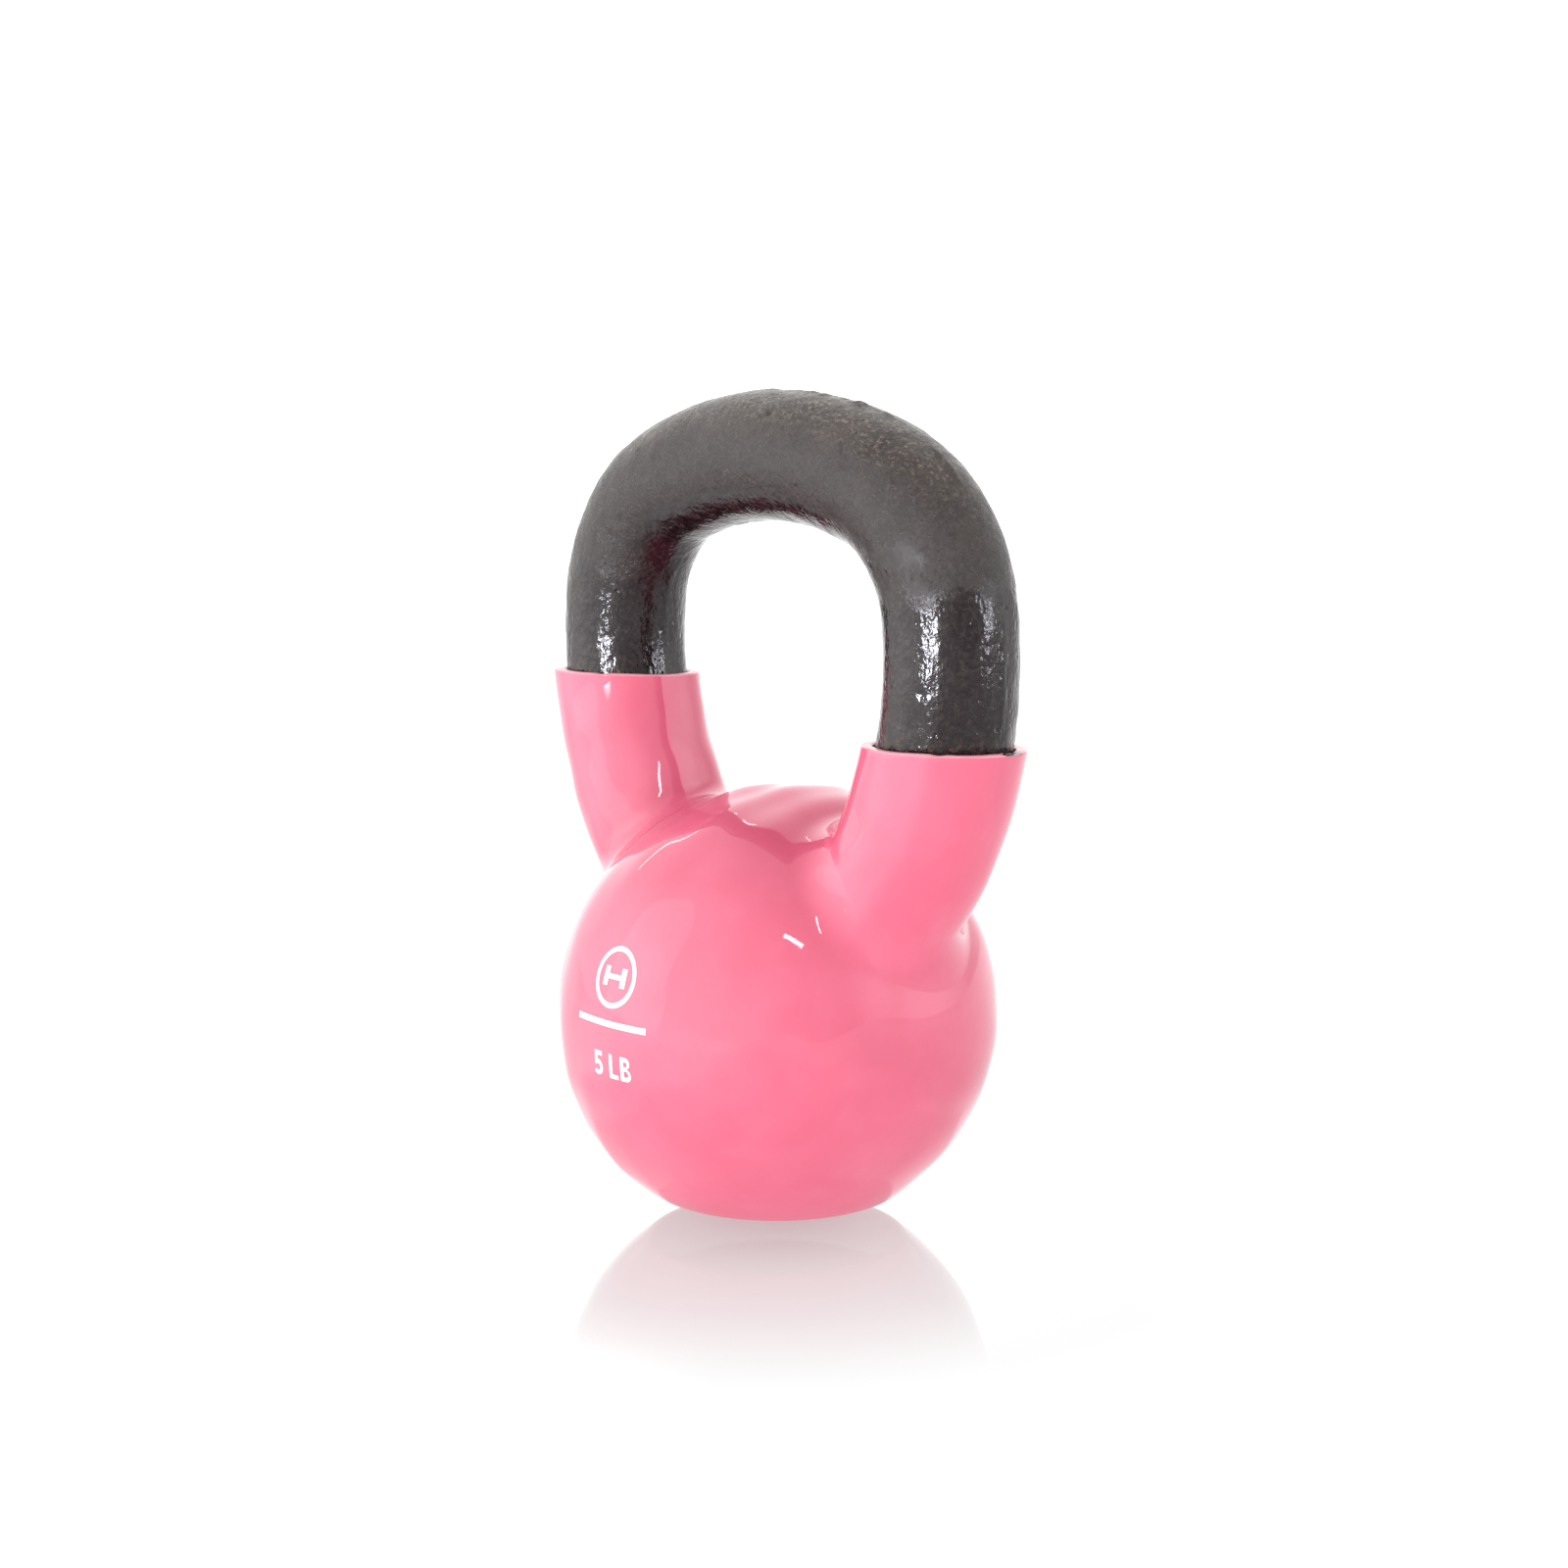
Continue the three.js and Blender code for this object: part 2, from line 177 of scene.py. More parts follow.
# White ink
INK_IOR = 1.45
INK_WHITE, INK_THIN, INK_PATCHES = (0.6, 0.59, 0.6), (0.55, 0.45, 0.48), (1.6, 0.4, 0.75, 4.0, 0.6)
INK_UNEVEN, INK_SMOOTHER, INK_ROUGHER = (0.8, 0.3, 0.7, 3.0), 0.3, 0.45
INK_RELIEF = (0.004, 0.4)

# ---- Camera, in millimetres and degrees ----
CAMERA_AZIMUTH, CAMERA_ELEVATION = 46.25, 8.3
CAMERA_DISTANCE = 416.6
# How far right of the axis and how high the camera looks
CAMERA_ACROSS, CAMERA_HEIGHT = 1.3, 74.18
CAMERA_LENS, CAMERA_SENSOR = 53.0, 36.0
CAMERA_NEAREST = 10.0

# ---- Studio: azimuths run from the camera's to its right, in degrees ----
# Strength of the surroundings away from the soft patches
SURROUNDINGS = 1.0
# Azimuth, elevation, half width and strength of each soft patch
SOFT_LIGHTS = [
    (-70.0, -3.0, 89.0, 1.7),
    (-85.0, 10.0, 40.0, 0.5),
    (78.0, 50.0, 30.0, 1.3),
    (80.0, 15.0, 45.0, 1.5),
    (180.0, 22.0, 50.0, 0.9),
]
# Name and shape; azimuth, elevation and distance in metres from the point aimed at; that point's height
# in mm; width and length in metres; roll and spread in degrees; strength; and what it lights
LAMPS = [
    ("box_left", "ELLIPSE", (-78.0, 12.0, 0.9), 50.0, (0.75, 1.5), 0.0, 180.0, 0.6, "whole"),
    ("beam_horn", "RECTANGLE", (-35.0, 0.0, 0.36), 117.0, (0.3, 0.05), 0.0, 17.0, 20.0, "whole"),
    ("beam_top", "RECTANGLE", (9.0, 44.0, 0.9), 50.0, (0.3, 0.04), -35.0, 180.0, 20.0, "whole"),
    ("strip_back", "RECTANGLE", (-150.0, 42.0, 0.9), 60.0, (0.6, 0.02), -38.0, 180.0, 6.0, "whole"),
    ("beam_left", "RECTANGLE", (-38.0, 4.0, 0.77), 115.0, (0.055, 0.25), 0.0, 180.0, 165.0, "handle"),
    ("beam_right", "RECTANGLE", (61.0, 8.0, 0.9), 105.0, (0.04, 0.28), 0.0, 180.0, 60.0, "handle"),
]
# A fill from below the floor, which no piece mirrors and the floor does not block
FILL = ("fill_low", "RECTANGLE", (-12.0, -40.0, 0.6), 30.0, (0.5, 0.5), 0.0, 180.0, 5.2, "whole")
HANDLE_LAMP_COLOR = (0.87, 0.89, 1.0)

# ---- Floor: distances are in mm from the ball's axis ----
FLOOR_HALF = 3000.0
MIRROR_DEPTH = 4.85
FLOOR_ROUGHNESS = 0.03
# Distances, and how brightly the floor glows and how strongly it mirrors there
FLOOR_REACH = 400.0
FLOOR_GLOW = [(10.0, 0.36), (35.0, 0.62), (55.0, 0.74), (82.0, 0.99), (120.0, 1.15), (400.0, 1.5)]
FLOOR_SHINE = [(10.0, 0.42), (35.0, 0.25), (82.0, 0.0)]
# Beside and behind the ball the glow is at least this much, and it comes in over these distances
OPEN_GLOW = 1.03
OPEN_SIDEWAYS, OPEN_BACK, OPEN_OUTWARDS = (34.0, 64.0), (-6.0, 24.0), (22.0, 40.0)
# On the left it is brighter: the azimuth, the gain, the cosines of the sector's edge, and distances
LEFT_AZIMUTH, LEFT_GAIN = -65.0, 0.95
LEFT_EDGE, LEFT_OUTWARDS = (0.5, 0.9), (60.0, 130.0)


# ---- Distances ----


def arc_list():
    """The handle's arcs on the +X side: each one's centre X and Z, radius, and first and last turn."""
    arcs = []
    x, z, turned = 0.0, HANDLE_TOP, 0.0
    for radius, degrees in HANDLE_ARCS:
        centre_x = x - radius * math.sin(turned)
        centre_z = z - radius * math.cos(turned)
        end = turned + math.radians(degrees)
        arcs.append((centre_x, centre_z, radius, turned, end))
        x = centre_x + radius * math.sin(end)
        z = centre_z + radius * math.cos(end)
        turned = end
    return arcs


ARCS = arc_list()


def wave_list():
    """The waves that make up the vinyl's unevenness: length, direction and phase."""
    chance = np.random.default_rng(WAVE_SEED)
    waves = []
    for length in WAVE_LENGTHS:
        for _ in range(WAVES_EACH):
            run = chance.normal(size=3)
            waves.append((length, run / np.linalg.norm(run), chance.uniform(0, 2 * math.pi)))
    return waves


WAVES = wave_list()


def rod_distance(points, rod_radius):
    """A round rod along the handle's centreline."""
    x = np.abs(points[:, 0])
    nearest = np.full(len(points), np.inf)
    for centre_x, centre_z, radius, start, end in ARCS:
        turn = np.clip(np.arctan2(x - centre_x, points[:, 2] - centre_z), start, end)
        on_x = centre_x + radius * np.sin(turn)
        on_z = centre_z + radius * np.cos(turn)
        away = (x - on_x) ** 2 + points[:, 1] ** 2 + (points[:, 2] - on_z) ** 2
        nearest = np.minimum(nearest, away)
    return np.sqrt(nearest) - rod_radius


def round_union(a, b, radius):
    """Two solids joined with a fillet of that radius."""
    inside = np.hypot(np.maximum(radius - a, 0), np.maximum(radius - b, 0))
    return np.maximum(radius, np.minimum(a, b)) - inside


def ball_distance(points, radius, base_height):
    """The ball, cut by its flat base in an edge rounded to BASE_EDGE_RADIUS."""
    out = np.hypot(points[:, 0], points[:, 1])
    rise = points[:, 2] - BALL_CENTRE_HEIGHT
    drop = base_height + BASE_EDGE_RADIUS - BALL_CENTRE_HEIGHT
    edge_out = math.sqrt((radius - BASE_EDGE_RADIUS) ** 2 - drop**2)
    beyond_flat = out > edge_out
    below_sphere = rise * edge_out < drop * out
    edge = np.hypot(out - edge_out, rise - drop) - BASE_EDGE_RADIUS
    sphere = np.hypot(out, rise) - radius
    plain = np.maximum(sphere, base_height - points[:, 2])
    return np.where(beyond_flat & below_sphere, edge, plain)


def unit(azimuth, elevation):
    """The direction at an azimuth from +X towards +Y and an elevation, both in degrees."""
    around, up = math.radians(azimuth), math.radians(elevation)
    return np.array([math.cos(around) * math.cos(up), math.sin(around) * math.cos(up), math.sin(up)])


def from_ball(points):
    """The direction of each point from the ball's centre."""
    away = points - np.array([0.0, 0.0, BALL_CENTRE_HEIGHT])
    return away / np.maximum(np.linalg.norm(away, axis=1, keepdims=True), TINY)


def mound(away, middle, spread):
    """1 in a middle direction, falling off smoothly round it over a spread in degrees."""
    angle = np.degrees(np.arccos(np.clip(away @ middle, -1, 1)))
    return np.exp(-((angle / spread) ** 2) / 2)


def swelling(points):
    """How far the dipped ball stands out from a true one, along each point's direction."""
    away = from_ball(points)
    total = np.zeros(len(points))
    for azimuth, elevation, height, spread in SWELLS:
        total += height * mound(away, unit(azimuth, elevation), spread)
    return total


def waviness(points):
    """The faint unevenness of the dipped vinyl."""
    total = np.zeros(len(points))
    for length, run, phase in WAVES:
        total += np.sin(points @ run * (2 * math.pi / length) + phase)
    saddle = mound(from_ball(points), np.array([0.0, 0.0, 1.0]), SADDLE_SPREAD)
    return WAVINESS * total * (1 + SADDLE_RIPPLE * saddle)


def vinyl_distance(points):
    """The vinyl's outside, with horns that run on up the handle."""
    fade = np.clip(points[:, 2] / SWELL_FADE, 0, 1)
    ball = ball_distance(points, BALL_RADIUS, 0.0) - swelling(points) * fade
    joined = round_union(ball, rod_distance(points, HORN_RADIUS), HORN_FILLET)
    return joined - waviness(points) * fade


def vinyl_blank_distance(points):
    """The vinyl's outside, with its horns ended a little above the collars."""
    return np.maximum(vinyl_distance(points), points[:, 2] - BLANK_TOP)


def casting_distance(points):
    """The iron, before its bar is roughened."""
    depth = VINYL_WALL + VINYL_CLEARANCE
    ball = ball_distance(points, BALL_RADIUS - depth, depth)
    return round_union(ball, rod_distance(points, BAR_RADIUS), HORN_FILLET)


# ---- Surfaces ----


def gradient(distance, points, step=0.01):
    """The unit direction in which a distance grows, at each point."""
    slopes = []
    for axis in range(3):
        offset = np.zeros(3)
        offset[axis] = step
        slopes.append((distance(points + offset) - distance(points - offset)) / (2 * step))
    slopes = np.stack(slopes, axis=1)
    return slopes / np.linalg.norm(slopes, axis=1, keepdims=True)


def surface_net(distance, low, high, cell):
    """A quad mesh round the zero level of a distance, one vertex in each grid cell that it crosses."""
    counts = np.ceil((np.array(high) - np.array(low)) / cell).astype(int) + 1
    axes = [low[i] + cell * np.arange(counts[i]) for i in range(3)]
    inside = np.zeros(counts, dtype=bool)
    for i, x in enumerate(axes[0]):
        ys, zs = np.meshgrid(axes[1], axes[2], indexing="ij")
        sheet = np.stack([np.full(ys.size, x), ys.ravel(), zs.ravel()], axis=1)
        inside[i] = (distance(sheet) < 0).reshape(ys.shape)
    corners = sum(
        inside[i : i + counts[0] - 1, j : j + counts[1] - 1, k : k + counts[2] - 1].astype(np.int8)
        for i in (0, 1)
        for j in (0, 1)
        for k in (0, 1)
    )
    crossed = (corners > 0) & (corners < 8)
    number = np.full(crossed.shape, -1)
    cells = np.argwhere(crossed)
    number[crossed] = np.arange(len(cells))
    points = np.array(low) + cell * (cells + 0.5)
    quads = []
    for axis in range(3):
        first = inside.take(range(counts[axis] - 1), axis)
        second = inside.take(range(1, counts[axis]), axis)
        edges = np.argwhere(first != second)
        leaving = first[tuple(edges.T)]
        u, v = np.eye(3, dtype=int)[[(axis + 1) % 3, (axis + 2) % 3]]
        around = [edges - u - v, edges - v, edges, edges - u]
        quad = np.stack([number[tuple(a.T)] for a in around], axis=1)
        quad[~leaving] = quad[~leaving][:, ::-1]
        quads.append(quad)
    return points, np.concatenate(quads)


def pushed(distance, points, times):
    """Points moved onto the zero level of a distance."""
    for _ in range(times):
        points = points - gradient(distance, points) * distance(points)[:, None]
    return points


def relaxed(distance, points, quads):
    """Evens the mesh out and puts every vertex back onto the surface."""
    starts = quads.ravel()
    ends = np.roll(quads, -1, axis=1).ravel()
    links = np.bincount(starts, minlength=len(points)) + np.bincount(ends, minlength=len(points))
    for _ in range(RELAX_ROUNDS):
        points = pushed(distance, points, RELAX_PUSHES)
        middle = np.stack(
            [
                np.bincount(starts, points[ends, axis], len(points))
                + np.bincount(ends, points[starts, axis], len(points))
                for axis in range(3)
            ],
            axis=1,
        )
        points = (points + middle / links[:, None]) / 2
    return pushed(distance, points, LAST_PUSHES)


def placed(name, data):
    """An object with that data, in the scene."""
    made = bpy.data.objects.new(name, data)
    bpy.context.scene.collection.objects.link(made)
    return made


def mesh_object(name, points, faces, smooth=True):
    """Points in millimetres and faces as an object in metres."""
    mesh = bpy.data.meshes.new(name)
    mesh.from_pydata((np.asarray(points) * MM).tolist(), [], [list(map(int, f)) for f in faces])
    mesh.update()
    mesh.polygons.foreach_set("use_smooth", [smooth] * len(mesh.polygons))
    return placed(name, mesh)


def bmesh_object(name, bm):
    """A bmesh in millimetres as an object in metres."""
    for vert in bm.verts:
        vert.co *= MM
    mesh = bpy.data.meshes.new(name)
    bm.to_mesh(mesh)
    bm.free()
    mesh.polygons.foreach_set("use_smooth", [True] * len(mesh.polygons))
    return placed(name, mesh)


# ---- Vinyl skin ----


def centreline_at_height(height, side):
    """The point of the centreline at a height below the handle's bends, and its direction upwards."""
    centre_x, centre_z, radius, _, _ = ARCS[-1]
    turn = math.acos((height - centre_z) / radius)
    point = np.array([side * (centre_x + radius * math.sin(turn)), 0.0, height])
    upwards = np.array([-side * math.cos(turn), 0.0, math.sin(turn)])
    return point, upwards


def cut_plane(side, height, lean):
    """A point on the plane of a collar's cut, the plane's upward normal, and the horn's direction."""
    point, upwards = centreline_at_height(height, side)
    tilt = math.radians(lean)
    return point, np.array([0.0, math.sin(tilt), math.cos(tilt)]), upwards


def trimmed(points, quads):
    """The blank cut off square just under the lip of each collar."""
    bm = bmesh.new()
    verts = [bm.verts.new(p) for p in points]
    for quad in quads:
        bm.faces.new([verts[i] for i in quad])
    for side, height, lean in RIMS:
        point, normal, _ = cut_plane(side, height, lean)
        halves = [f for f in bm.faces if side * f.calc_center_median().x > 0]
        parts = set(halves)
        for face in halves:
            parts.update(face.edges)
            parts.update(face.verts)
        bmesh.ops.bisect_plane(
            bm,
            geom=list(parts),
            plane_co=point - normal * LIP_ROUND,
            plane_no=normal,
            clear_outer=True,
        )
    return bm


def boundary_loops(bm):
    """The open edges' vertices, in order round each opening."""
    following = {}
    for edge in bm.edges:
        if len(edge.link_faces) == 1:
            loop = edge.link_loops[0]
            following[loop.vert] = loop.link_loop_next.vert
    loops = []
    while following:
        start, after = following.popitem()
        loop = [start]
        while after is not start:
            loop.append(after)
            after = following.pop(after)
        loops.append(loop)
    return loops


def lip_profile():
    """Steps across the cut edge of the vinyl: depths from the outside and heights above the shoulder."""
    steps = []
    for i in range(1, LIP_STEPS + 1):
        angle = i / LIP_STEPS * math.pi / 2
        steps.append((LIP_ROUND * (1 - math.cos(angle)), LIP_ROUND * math.sin(angle)))
    middle = [(VINYL_WALL * share, LIP_ROUND) for share in LIP_FLAT_STEPS]
    back = [(VINYL_WALL - depth, rise) for depth, rise in reversed(steps)]
    return steps + middle + back


def build_skin():
    """The skin as one closed shell: its outside, its inside, and a lip round each collar's cut."""
    points, quads = surface_net(vinyl_blank_distance, SKIN_LOW, SKIN_HIGH, SKIN_CELL)
    points = relaxed(vinyl_blank_distance, points, quads)
    bm = trimmed(points, quads)
    bm.verts.layers.float.new("cut")
    bm.verts.layers.float.new("chip")
    outer = list(bm.verts)
    places = np.array([v.co for v in outer])
    inward = -gradient(vinyl_distance, places)
    openings = boundary_loops(bm)
    inner_of = {}
    for vert, place, way in zip(outer, places, inward):
        inner_of[vert] = bm.verts.new(place + way * VINYL_WALL)
    for face in list(bm.faces):
        bm.faces.new([inner_of[v] for v in reversed(face.verts)])
    for loop in openings:
        side = 1 if loop[0].co.x > 0 else -1
        rim = next(r for r in RIMS if r[0] == side)
        add_lip(bm, loop, inner_of, side, cut_plane(*rim))
    bm.normal_update()
    return bmesh_object("vinyl_skin_fine", bm)


def chip_share(side, angle):
    """How deep a chip is at an angle round a collar, from 0 where the lip is whole to 1."""
    share = 0.0
    for chip_side, centre, half_width, depth in LIP_CHIPS:
        off = abs((angle - centre + 180) % 360 - 180) / half_width
        if side == chip_side and off < 1:
            share = max(share, depth * (1 - off**2))
    return share


def add_lip(bm, loop, inner_of, side, plane):
    """Joins the outside to the inside round one opening, over a rounded lip."""
    point, normal, upwards = (Vector(v) for v in plane)
    cut = bm.verts.layers.float["cut"]
    chip = bm.verts.layers.float["chip"]
    for vert in loop:
        inner = inner_of[vert]
        gap = (point - normal * LIP_ROUND - inner.co).dot(normal)
        inner.co += upwards * (gap / upwards.dot(normal))
    rows = [loop]
    for depth, rise in lip_profile():
        row = []
        for vert in loop:
            across = inner_of[vert].co - vert.co
            angle = math.degrees(math.atan2(vert.co.y - point.y, vert.co.x - point.x))
            chipped = chip_share(side, angle)
            wave = math.sin(math.radians(angle * LIP_WAVES_ROUND + side * LIP_WAVE_TURN))
            height = rise * (1 - chipped + LIP_WAVE * wave * (1 - chipped))
            made = bm.verts.new(vert.co + across * (depth / VINYL_WALL) + normal * height)
            made[cut] = min(rise / LIP_ROUND, 1.0)
            made[chip] = chipped
            row.append(made)
        rows.append(row)
    rows.append([inner_of[vert] for vert in loop])
    for vert in rows[-1]:
        vert[cut] = 1.0
    for low_row, high_row in zip(rows, rows[1:]):
        for i, vert in enumerate(low_row):
            j = (i + 1) % len(low_row)
            bm.faces.new((low_row[j], vert, high_row[i], high_row[j]))


# ---- Casting ----


def noise_at(place, size, seed):
    """Smooth noise between -1 and 1 whose lumps are about that many millimetres across."""
    return noise.noise(Vector(place) / size + Vector((seed, seed, seed)))


def dome(share):
    """The height of a round bump at a share of its radius: 1 in its middle and 0 from its edge on."""
    return (1 - share**2) ** 2 if abs(share) < 1 else 0.0


def pit_share(place):
    """How deep a pit is at a place, from 0 outside the pits to 1 at a pit's floor."""
    shift = Vector((PIT_SEED, PIT_SEED, PIT_SEED))
    distances, _ = noise.voronoi(Vector(place) / PIT_SPACING + shift)
    return dome(distances[0] * PIT_SPACING / PIT_RADIUS)


def ridge_share(place):
    """How high the mould's parting ridge is at a place: it wanders along the bar and has gaps."""
    level = noise_at(place, RIDGE_PATCH, RIDGE_PATCH_SEED) - RIDGE_PATCH_LEVEL
    wander = RIDGE_WANDER * noise_at(place, RIDGE_WANDER_LENGTH, RIDGE_WANDER_SEED)
    across = (place[1] - wander) / RIDGE_HALF_WIDTH
    return dome(across) * min(1.0, max(0.0, level * RIDGE_STEEPNESS))


def casting_relief(place):
    """How far the cast surface stands out from the plain shape at one point, in millimetres."""
    raised = sum(height * noise_at(place, size, seed) for height, size, seed in CAST_NOISES)
    if noise_at(place, PIT_PATCH, PIT_PATCH_SEED) > PIT_PATCH_LEVEL:
        raised -= PIT_DEPTH * pit_share(place)
    raised += RIDGE_HEIGHT * ridge_share(place)
    for x, y, z, radius, height in NICKS:
        raised += height * dome(math.dist(place, (x, y, z)) / radius)
    return raised


def build_casting():
    """The iron casting: the plain shape with its bar roughened as it comes from the sand."""
    points, quads = surface_net(casting_distance, CASTING_LOW, CASTING_HIGH, CASTING_CELL)
    points = relaxed(casting_distance, points, quads)
    outward = gradient(casting_distance, points)
    for i in np.nonzero(points[:, 2] > RELIEF_BOTTOM)[0]:
        place = points[i]
        fade = min((place[2] - RELIEF_BOTTOM) / RELIEF_FADE, 1.0)
        points[i] = place + outward[i] * (casting_relief(tuple(place)) * fade)
    return mesh_object("casting_fine", points, quads)


# ---- Ink ----


def arc_points(centre, radius, start, end):
    """Points along an arc, from one angle in degrees to another."""
    length = abs(math.radians(end - start)) * radius
    steps = INK_ARC_FINENESS * max(1, math.ceil(length / INK_STEP))
    angles = [math.radians(start + (end - start) * i / steps) for i in range(steps + 1)]
    return [(centre[0] + radius * math.cos(a), centre[1] + radius * math.sin(a)) for a in angles]


def ring_outline():
    """The emblem's ring: its outer edge, and its inner edge the other way round."""
    centre = (EMBLEM_U, EMBLEM_V)
    outer = arc_points(centre, EMBLEM_OUTER, 0, 360)
    inner = arc_points(centre, EMBLEM_INNER, 360, 0)
    return [outer[:-1], inner[:-1]]


def dumbbell_outline():
    """The dumbbell inside the ring: its upper half, and the same turned half round."""
    inner = DUMBBELL_HALF_LENGTH - DUMBBELL_PLATE_LENGTH
    upper = [
        (DUMBBELL_HALF_LENGTH, DUMBBELL_HALF_PLATE),
        (inner, DUMBBELL_HALF_PLATE),
        (inner, DUMBBELL_HALF_BAR),
        (-inner, DUMBBELL_HALF_BAR),
        (-inner, DUMBBELL_HALF_PLATE),
        (-DUMBBELL_HALF_LENGTH, DUMBBELL_HALF_PLATE),
    ]
    outline = upper + [(-u, -v) for u, v in upper]
    return [[(EMBLEM_U + u, EMBLEM_V + v) for u, v in outline]]


def rule_outline():
    """The rule under the emblem."""
    u, v = RULE_LENGTH / 2, RULE_HEIGHT / 2
    return [[(-u, RULE_V - v), (u, RULE_V - v), (u, RULE_V + v), (-u, RULE_V + v)]]


def five_outline():
    """The digit 5: a flag and a stem, then the bowl's inside and back along its outside."""
    centre = (FIVE_U + FIVE_BOWL, GLYPH_BASELINE + FIVE_BOWL)
    stem = centre[0] - FIVE_STEM_IN
    top = GLYPH_BASELINE + GLYPH_HEIGHT
    inside = FIVE_BOWL - GLYPH_STROKE
    meets = math.degrees(math.acos((stem + GLYPH_STROKE - centre[0]) / FIVE_BOWL))
    outline = [(stem + FIVE_FLAG, top), (stem, top)]
    outline.append((stem, centre[1] + inside * math.sin(math.radians(FIVE_THROAT_ANGLE))))
    outline += arc_points(centre, inside, FIVE_THROAT_ANGLE, FIVE_TAIL_ANGLE - 360)
    outline += arc_points(centre, FIVE_BOWL, FIVE_TAIL_ANGLE - 360, meets)
    outline.append((stem + GLYPH_STROKE, top - GLYPH_STROKE))
    outline.append((stem + FIVE_FLAG, top - GLYPH_STROKE))
    return [outline]


def letter_l_outline():
    """The letter L, from its lower left corner."""
    corners = [
        (0, 0),
        (LETTER_L_WIDTH, 0),
        (LETTER_L_WIDTH, GLYPH_STROKE),
        (GLYPH_STROKE, GLYPH_STROKE),
        (GLYPH_STROKE, GLYPH_HEIGHT),
        (0, GLYPH_HEIGHT),
    ]
    return [[(LETTER_L_U + u, GLYPH_BASELINE + v) for u, v in corners]]


def lobe_points(left, flat, low, high):
    """A hole in the letter B, from its lower left corner round to its upper left one."""
    radius = (high - low) / 2
    return [(left, low), *arc_points((left + flat, low + radius), radius, -90, 90), (left, high)]


def letter_b_outline():
    """The letter B: its outside, and a hole in each lobe."""
    waist = GLYPH_BASELINE + LETTER_B_WAIST
    top = GLYPH_BASELINE + GLYPH_HEIGHT
    low_centre = (LETTER_B_U + LETTER_B_LOWER, (GLYPH_BASELINE + waist) / 2)
    high_centre = (LETTER_B_U + LETTER_B_UPPER, (waist + top) / 2)
    lower = arc_points(low_centre, LETTER_B_WAIST / 2, -90, 90)
    upper = arc_points(high_centre, (top - waist) / 2, -90, 90)
    outline = [(LETTER_B_U, GLYPH_BASELINE), *lower, *upper, (LETTER_B_U, top)]
    inside = LETTER_B_U + GLYPH_STROKE
    half = GLYPH_STROKE / 2
    low_flat, high_flat = LETTER_B_LOWER - GLYPH_STROKE, LETTER_B_UPPER - GLYPH_STROKE
    low_hole = lobe_points(inside, low_flat, GLYPH_BASELINE + GLYPH_STROKE, waist - half)
    high_hole = lobe_points(inside, high_flat, waist + half, top - GLYPH_STROKE)
    return [outline, low_hole, high_hole]


def subdivided(outline):
    """An outline with no side longer than INK_STEP."""
    made = []
    for (u0, v0), (u1, v1) in zip(outline, outline[1:] + outline[:1]):
        parts = max(1, math.ceil(math.dist((u0, v0), (u1, v1)) / INK_STEP))
        made += [(u0 + (u1 - u0) * i / parts, v0 + (v1 - v0) * i / parts) for i in range(parts)]
    return made


def crossings(outline, u, v):
    """How often a level line from a point to the right crosses an outline."""
    count = 0
    for (u0, v0), (u1, v1) in zip(outline, outline[1:] + outline[:1]):
        if (v0 > v) != (v1 > v) and u < u0 + (v - v0) / (v1 - v0) * (u1 - u0):
            count += 1
    return count


def on_vinyl(u, v, height):
    """The point of the vinyl's face at u and v, raised by a height."""
    around, up = u / BALL_RADIUS, v / BALL_RADIUS
    level = math.cos(up)
    outward = np.array([math.sin(around) * level, -math.cos(around) * level, math.sin(up)])
    point = (outward * BALL_RADIUS + [0.0, 0.0, BALL_CENTRE_HEIGHT])[None]
    for _ in range(INK_PUSHES):
        point = point - outward * (vinyl_distance(point)[:, None] - height)
    return point[0]


def ink_film(name, outlines):
    """A thin closed film of ink inside the outlines, laid on the vinyl's face."""
    outlines = [subdivided(outline) for outline in outlines]
    flat = [Vector(p) for outline in outlines for p in outline]
    edges = []
    start = 0
    for outline in outlines:
        count = len(outline)
        edges += [(start + i, start + (i + 1) % count) for i in range(count)]
        start += count
    verts, _, faces, _, _, _ = geometry.delaunay_2d_cdt(flat, edges, [], 0, INK_MERGE)
    inside = []
    for face in faces:
        u, v = sum((verts[i] for i in face), Vector((0, 0))) / len(face)
        if sum(crossings(outline, u, v) for outline in outlines) % 2:
            inside.append(tuple(face))
    count = len(verts)
    places = [on_vinyl(p.x, p.y, INK_THICKNESS) for p in verts]
    places += [on_vinyl(p.x, p.y, -INK_THICKNESS) for p in verts]
    made = inside + [tuple(i + count for i in reversed(face)) for face in inside]
    sides = {(f[i], f[(i + 1) % len(f)]) for f in inside for i in range(len(f))}
    made += [(b, a, a + count, b + count) for a, b in sides if (b, a) not in sides]
    return mesh_object(name, places, made, smooth=False)


# ---- Nodes of the materials ----


def add(tree, kind, sockets=None, **attributes):
    """A node with its attributes set and each named socket given a value or linked."""
    made = tree.nodes.new(kind)
    for key, value in attributes.items():
        setattr(made, key, value)
    for key, value in (sockets or {}).items():
        if isinstance(value, bpy.types.NodeSocket):
            tree.links.new(value, made.inputs[key])
        else:
            made.inputs[key].default_value = value
    return made


def new_material(name, ior):
    """A material with its shader, and the object's own coordinates in metres."""
    made = bpy.data.materials.new(name)
    made.use_nodes = True
    tree = made.node_tree
    shader = tree.nodes["Principled BSDF"]
    shader.inputs["IOR"].default_value = ior
    place = add(tree, "ShaderNodeTexCoord").outputs["Object"]
    return made, tree, shader, place


